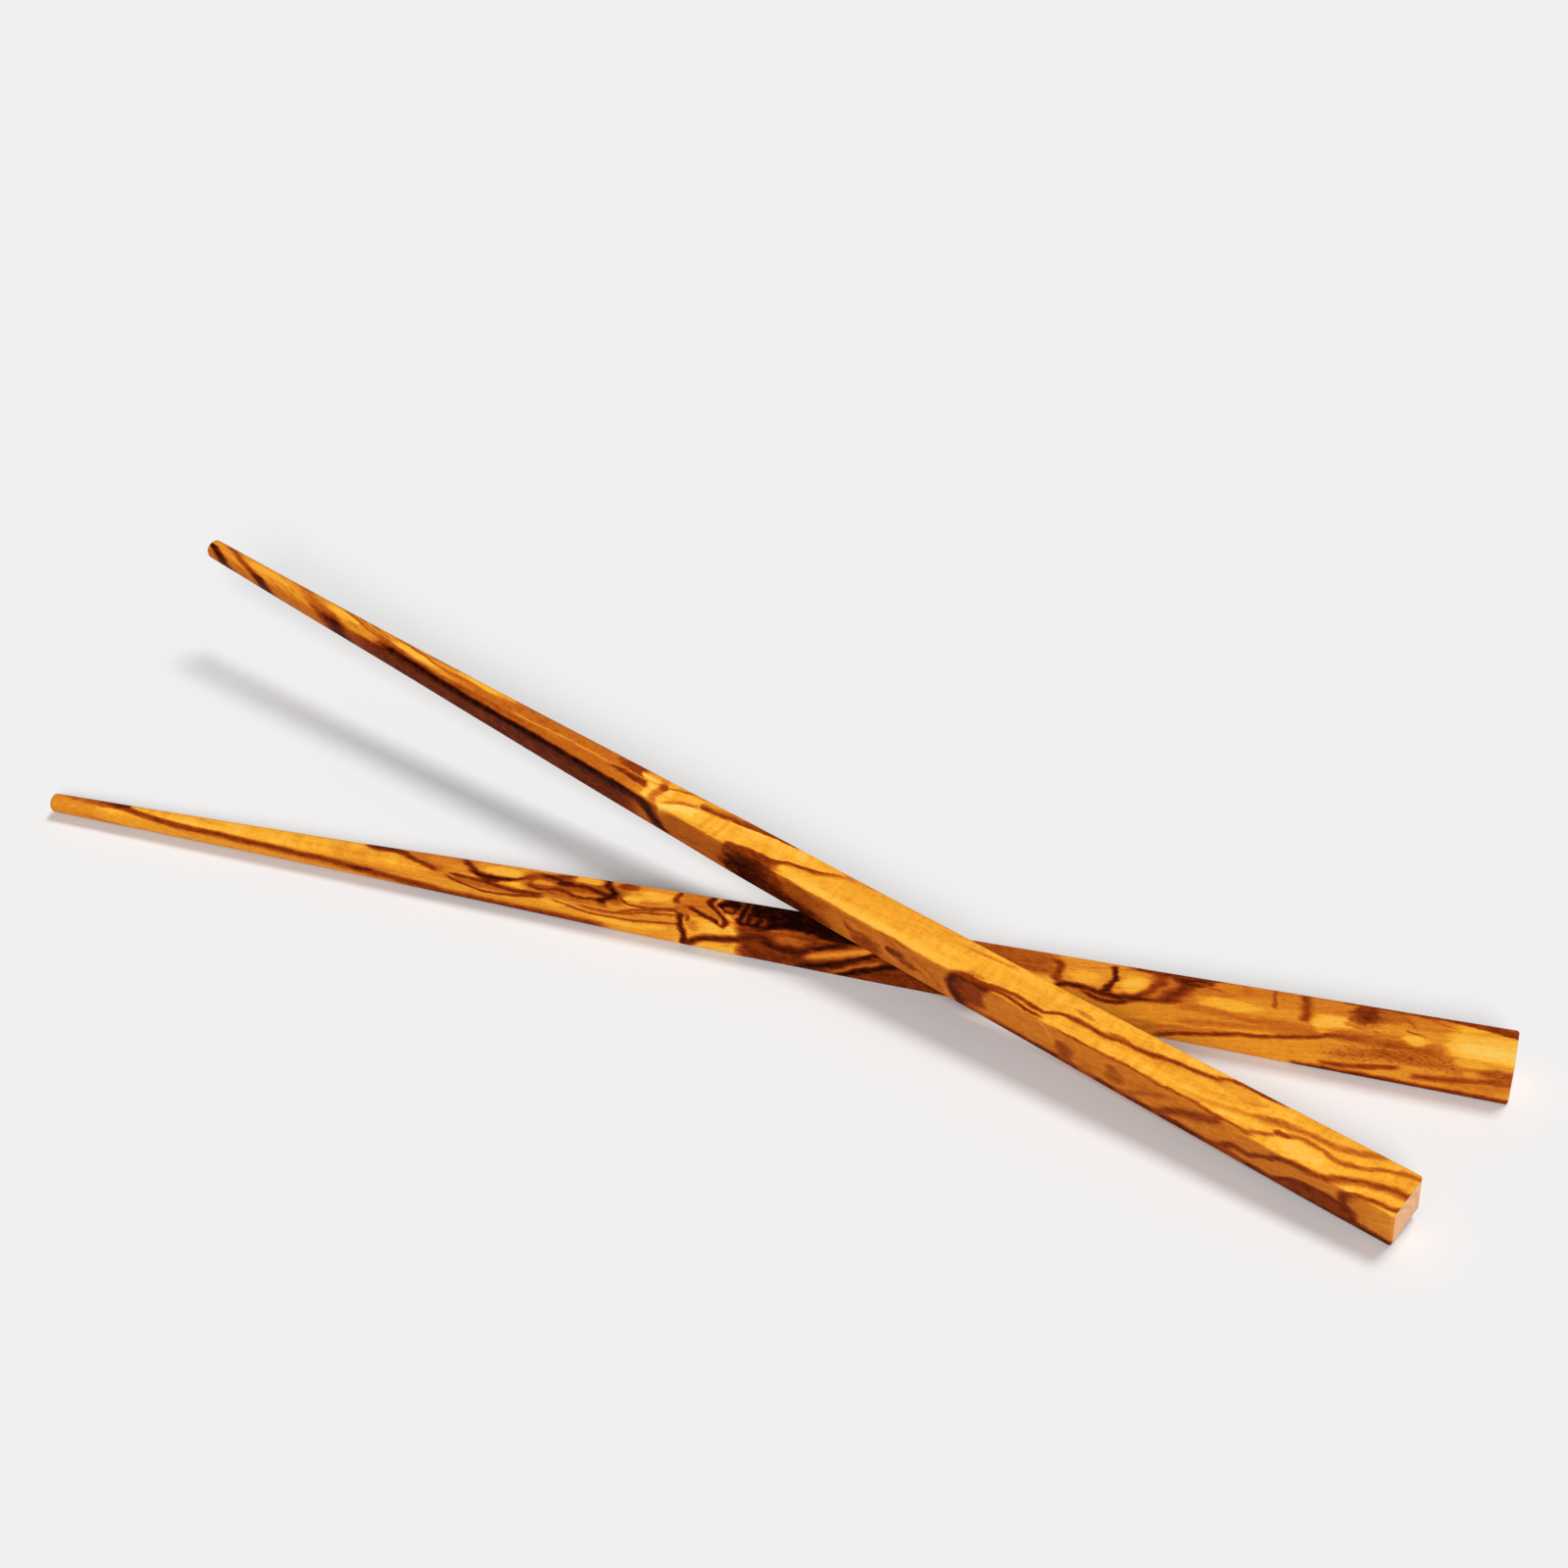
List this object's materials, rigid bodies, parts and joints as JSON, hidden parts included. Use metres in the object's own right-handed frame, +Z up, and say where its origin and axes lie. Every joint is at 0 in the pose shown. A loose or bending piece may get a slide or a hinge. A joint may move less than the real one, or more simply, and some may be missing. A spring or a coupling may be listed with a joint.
{
  "type": "pair of wooden chopsticks",
  "caption": "Carved hardwood chopsticks with square, tapering handles and blades that grow round, laid down crossed as a pair.",
  "frame": {"origin": "on the table, in the middle of the footprint of the crossed pair", "axes": "+X runs along the lower chopstick from its tip to its butt, +Y is the side that the upper chopstick's tip points to, +Z is up"},
  "size_m": [0.23, 0.0912, 0.0208],
  "materials": {
    "lower_wood": "oiled, satin, honey gold with dark brown veins",
    "upper_wood": "oiled, satin, honey gold with dark brown veins"
  },
  "bodies": {
    "root": {"lower_chopstick": "lower_wood", "upper_chopstick": "upper_wood"}
  },
  "joints": []
}
